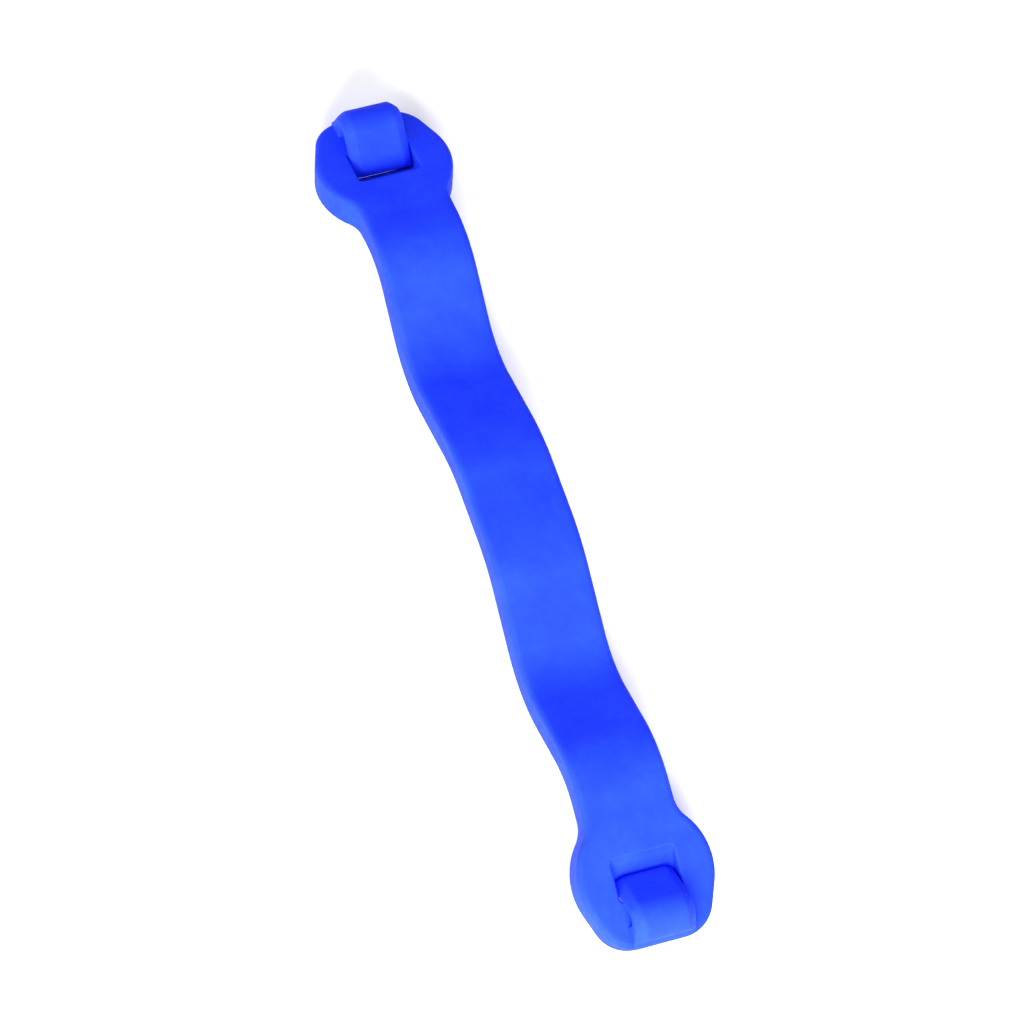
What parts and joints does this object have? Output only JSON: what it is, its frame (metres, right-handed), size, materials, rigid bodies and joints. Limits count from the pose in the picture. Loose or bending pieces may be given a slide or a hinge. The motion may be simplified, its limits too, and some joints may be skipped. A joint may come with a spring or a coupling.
{
  "type": "vibration dampener",
  "caption": "Woven racket string dampener: a flat blue elastomer strap with a round pad at each end, each with a tongue that hooks over a string and dips into a window.",
  "frame": {"origin": "middle of the strap's length and width, level with the lowest edges of the pads, on which it stands", "axes": "+X along the strap from the left pad to the right pad, +Y along the racket's main strings, +Z square to the string bed, towards the face that the tongues hook over"},
  "size_m": [0.0912, 0.0136, 0.0086],
  "materials": {
    "silicone": "matte moulded silicone"
  },
  "bodies": {
    "centre": {"centre_strap": "silicone"},
    "left_inner": {"left_inner_strap": "silicone"},
    "left_outer": {"left_outer_strap": "silicone"},
    "left_end": {"left_neck": "silicone", "left_end_pad": "silicone"},
    "left_tongue": {"left_tongue": "silicone"},
    "right_inner": {"right_inner_strap": "silicone"},
    "right_outer": {"right_outer_strap": "silicone"},
    "right_end": {"right_neck": "silicone", "right_end_pad": "silicone"},
    "right_tongue": {"right_tongue": "silicone"}
  },
  "joints": [
    {"name": "left_inner_flex", "type": "hinge", "parent": "centre", "child": "left_inner", "pos_m": [-0.0054, 0, 0.00707], "axis": [0, 1, 0], "range_deg": [-25, 20.29], "stiffness_Nm_per_rad": 0.0034},
    {"name": "left_middle_flex", "type": "hinge", "parent": "left_inner", "child": "left_outer", "pos_m": [-0.0173, 0, 0.00267], "axis": [0, -1, 0], "range_deg": [-25, 40.74], "stiffness_Nm_per_rad": 0.0034},
    {"name": "left_outer_flex", "type": "hinge", "parent": "left_outer", "child": "left_end", "pos_m": [-0.0291, 0, 0.00707], "axis": [0, 1, 0], "range_deg": [-25, 39.4], "stiffness_Nm_per_rad": 0.0034},
    {"name": "left_tongue_flex", "type": "hinge", "parent": "left_end", "child": "left_tongue", "pos_m": [-0.04445, 0, 0.00354], "axis": [0, -1, 0], "range_deg": [0, 90], "stiffness_Nm_per_rad": 0.0001},
    {"name": "right_inner_flex", "type": "hinge", "parent": "centre", "child": "right_inner", "pos_m": [0.0054, 0, 0.00707], "axis": [0, -1, 0], "range_deg": [-25, 20.29], "stiffness_Nm_per_rad": 0.0034},
    {"name": "right_middle_flex", "type": "hinge", "parent": "right_inner", "child": "right_outer", "pos_m": [0.0173, 0, 0.00267], "axis": [0, 1, 0], "range_deg": [-25, 40.74], "stiffness_Nm_per_rad": 0.0034},
    {"name": "right_outer_flex", "type": "hinge", "parent": "right_outer", "child": "right_end", "pos_m": [0.0291, 0, 0.00707], "axis": [0, -1, 0], "range_deg": [-25, 39.4], "stiffness_Nm_per_rad": 0.0034},
    {"name": "right_tongue_flex", "type": "hinge", "parent": "right_end", "child": "right_tongue", "pos_m": [0.04445, 0, 0.00354], "axis": [0, 1, 0], "range_deg": [0, 90], "stiffness_Nm_per_rad": 0.0001}
  ]
}
